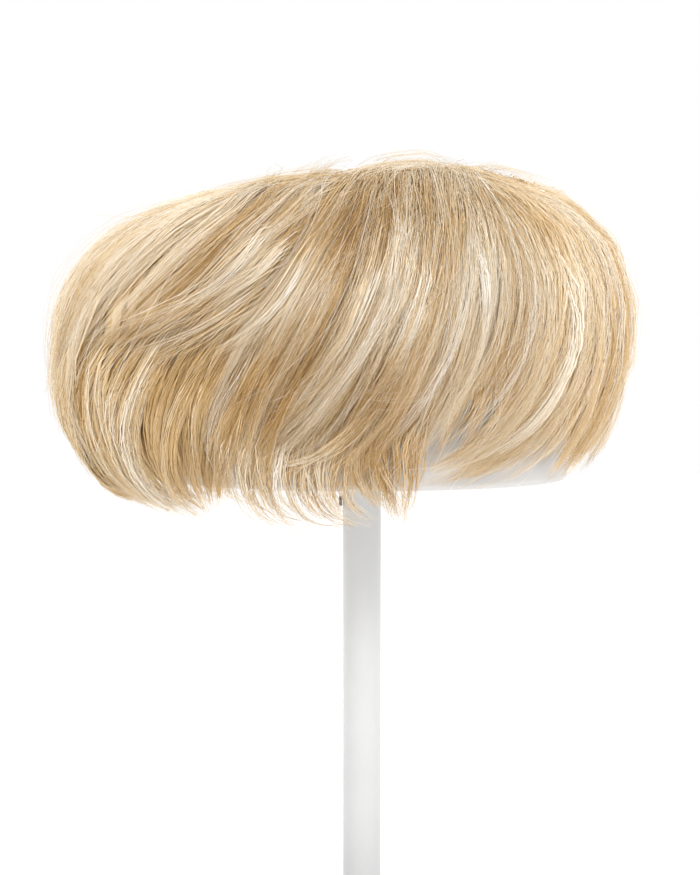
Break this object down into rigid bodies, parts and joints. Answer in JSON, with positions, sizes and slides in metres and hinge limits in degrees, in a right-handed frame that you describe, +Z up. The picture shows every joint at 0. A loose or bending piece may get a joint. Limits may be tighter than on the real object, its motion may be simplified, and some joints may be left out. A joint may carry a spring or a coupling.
{
  "type": "hair topper on display stand",
  "caption": "Short side-swept hair topper with tucked-under ends, set over a plain dome on a slim post and a round foot that holds it upright for display.",
  "frame": {"origin": "middle of the foot's underside, on the table", "axes": "+Z up along the post, -Y towards the fringe, +X towards the side that the fringe sweeps away from"},
  "size_m": [0.2313, 0.2234, 0.315],
  "materials": {
    "hair": "silky blonde synthetic fibre",
    "cap": "soft knitted net",
    "dome": "matt white",
    "stand": "satin white paint",
    "screw": "dark blued steel"
  },
  "bodies": {
    "root": {"stand_foot": "stand", "stand_post": "stand", "stand_dome": "dome", "post_screw": "screw", "base_cap": "cap", "crown_hair": "hair", "fringe_lock_1": "hair", "fringe_lock_2": "hair", "fringe_lock_3": "hair", "fringe_lock_4": "hair", "fringe_lock_5": "hair", "fringe_lock_6": "hair", "fringe_lock_7": "hair", "right_lock_1": "hair", "right_lock_2": "hair", "right_lock_3": "hair", "right_lock_4": "hair", "right_lock_5": "hair", "right_lock_6": "hair", "back_lock_1": "hair", "back_lock_2": "hair", "back_lock_3": "hair", "back_lock_4": "hair", "back_lock_5": "hair", "back_lock_6": "hair", "back_lock_7": "hair", "back_lock_8": "hair", "left_lock_1": "hair", "left_lock_2": "hair", "left_lock_3": "hair", "left_lock_4": "hair", "left_lock_5": "hair", "left_lock_6": "hair", "left_lock_7": "hair"}
  },
  "joints": []
}
